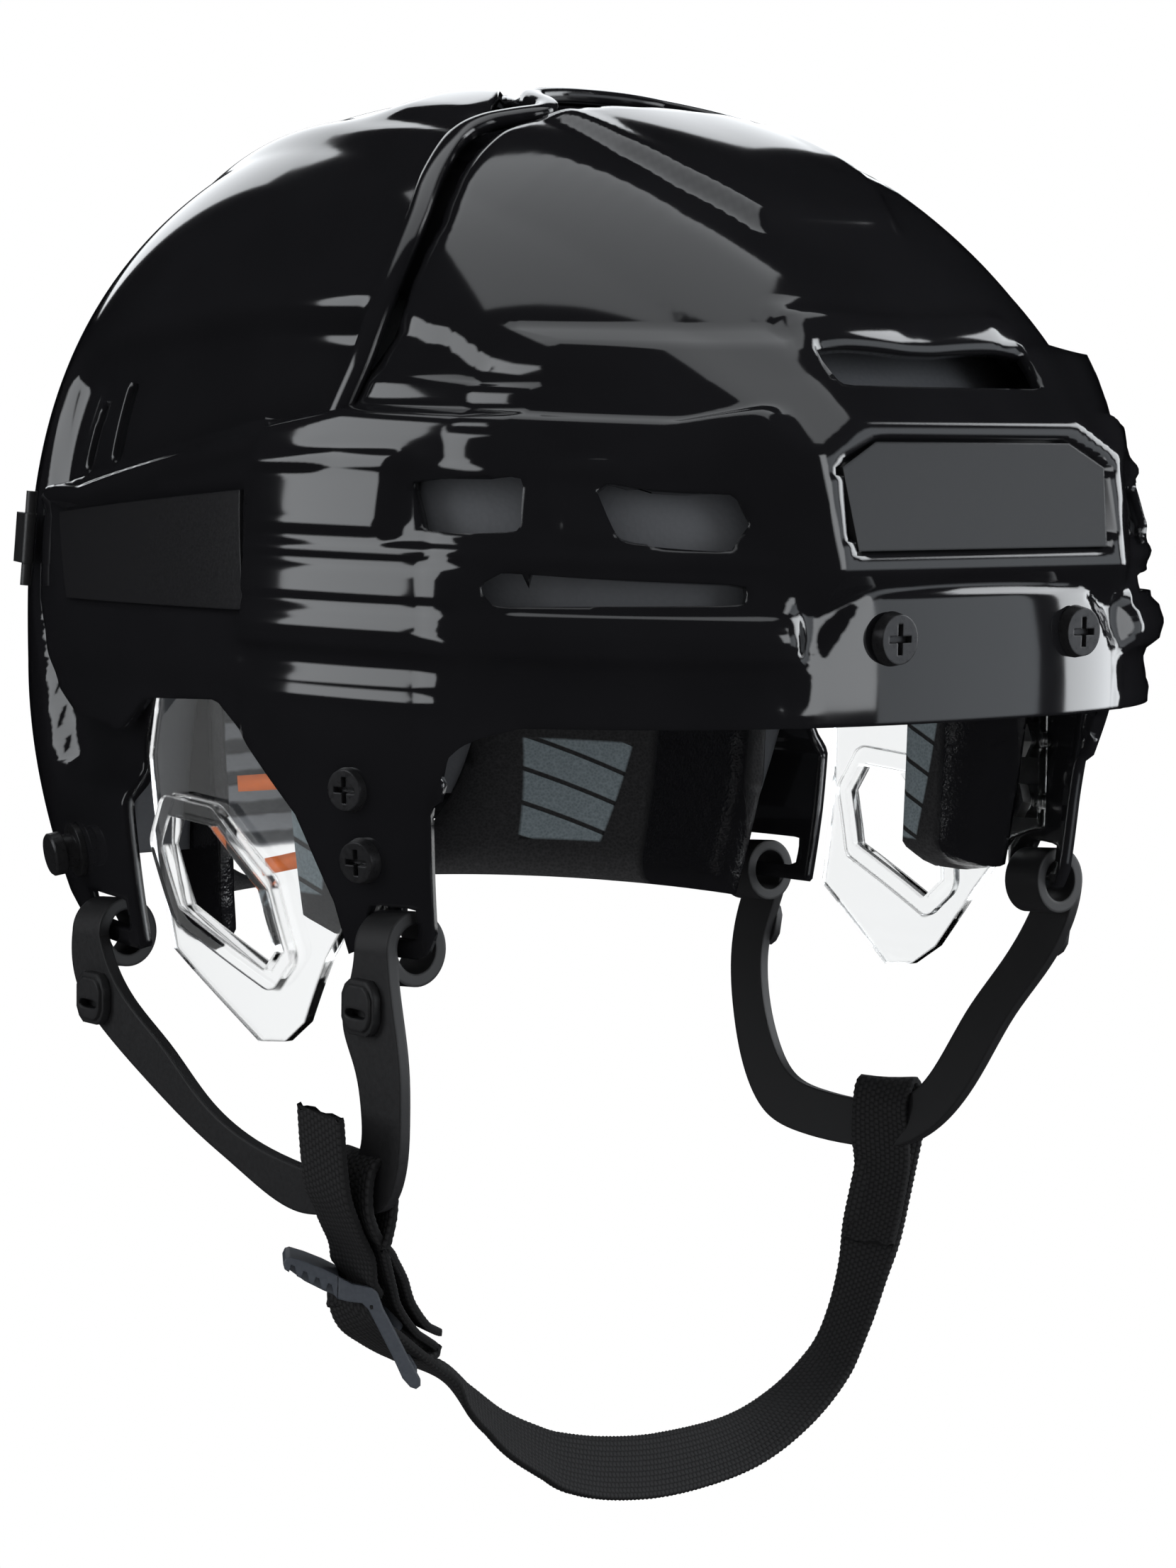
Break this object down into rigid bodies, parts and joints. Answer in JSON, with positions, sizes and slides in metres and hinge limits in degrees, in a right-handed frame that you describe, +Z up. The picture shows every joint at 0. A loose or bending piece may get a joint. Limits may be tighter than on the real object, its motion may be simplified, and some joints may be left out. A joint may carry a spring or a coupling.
{
  "type": "ice hockey helmet",
  "caption": "Two-piece adjustable ice hockey helmet with side vents, clear ear guards, foam liner, ear loops and a webbing chin strap with buckle.",
  "frame": {"origin": "middle of the head opening, in the plane of symmetry, level with the brim's lower edge", "axes": "+Z up through the crown, -Y to the front (brow), +X to the wearer's left"},
  "size_m": [0.2325, 0.2736, 0.3167],
  "materials": {
    "front_shell": "gloss",
    "rear_shell": "gloss",
    "brow_plate": "gloss",
    "side_plate": "satin",
    "screw": "satin",
    "nut": "satin",
    "stud": "satin",
    "guard": "clear",
    "foam": "matte",
    "pad": "matte",
    "lever": "satin",
    "loop": "satin",
    "webbing": "matte",
    "buckle": "satin"
  },
  "bodies": {
    "front": {"front_shell": "front_shell", "brow_plate": "brow_plate", "front_liner": "foam", "forehead_pad": "pad", "crown_pad": "pad", "right_side_plate": "side_plate", "left_side_plate": "side_plate", "right_brow_screw": "screw", "left_brow_screw": "screw", "right_brow_nut": "nut", "left_brow_nut": "nut", "right_guard_screw_upper": "screw", "left_guard_screw_upper": "screw", "right_guard_screw_lower": "screw", "left_guard_screw_lower": "screw", "right_guard_nut_upper": "nut", "left_guard_nut_upper": "nut", "right_guard_nut_lower": "nut", "left_guard_nut_lower": "nut", "right_ear_guard": "guard", "left_ear_guard": "guard", "right_temple_pad": "pad", "left_temple_pad": "pad"},
    "rear": {"rear_shell": "rear_shell", "rear_liner": "foam", "occipital_pad": "pad", "right_cage_stud": "stud", "left_cage_stud": "stud", "right_stud_nut": "nut", "left_stud_nut": "nut", "right_side_pad": "pad", "left_side_pad": "pad"},
    "right_lever": {"right_size_lever": "lever"},
    "left_lever": {"left_size_lever": "lever"},
    "right_loop": {"right_ear_loop": "loop", "right_front_button": "loop", "right_rear_button": "loop"},
    "left_loop": {"left_ear_loop": "loop", "left_front_button": "loop", "left_rear_button": "loop"},
    "strap": {"chin_strap": "webbing", "anchor_strap": "webbing", "buckle": "buckle"}
  },
  "joints": [
    {"name": "size_adjust", "type": "slide", "parent": "front", "child": "rear", "axis": [0, 1, 0], "range_m": [-0.004, 0.006]},
    {"name": "right_lock", "type": "hinge", "parent": "front", "child": "right_lever", "pos_m": [-0.10045, 0.08111, 0.02922], "axis": [0.0655, -0.0244, 0.9976], "range_deg": [0, 70]},
    {"name": "left_lock", "type": "hinge", "parent": "front", "child": "left_lever", "pos_m": [0.10045, 0.08111, 0.02922], "axis": [0.0655, 0.0244, -0.9976], "range_deg": [0, 70]},
    {"name": "right_loop_swing", "type": "hinge", "parent": "front", "child": "right_loop", "pos_m": [-0.09565, -0.05, -0.0479], "axis": [-0.0202, 0.9962, -0.0847], "range_deg": [-10, 10]},
    {"name": "left_loop_swing", "type": "hinge", "parent": "front", "child": "left_loop", "pos_m": [0.09565, -0.05, -0.0479], "axis": [0.0202, 0.9962, -0.0847], "range_deg": [-8, 8]},
    {"name": "strap_turn", "type": "hinge", "parent": "right_loop", "child": "strap", "pos_m": [-0.10219, -0.03813, -0.09703], "axis": [-0.0202, 0.9962, -0.0847], "range_deg": [-10.5, 10.5]}
  ],
  "couplings": [
    {"joint": "left_loop_swing", "follows": "right_loop_swing", "ratio": 0.7485},
    {"joint": "strap_turn", "follows": "right_loop_swing", "ratio": -1}
  ]
}
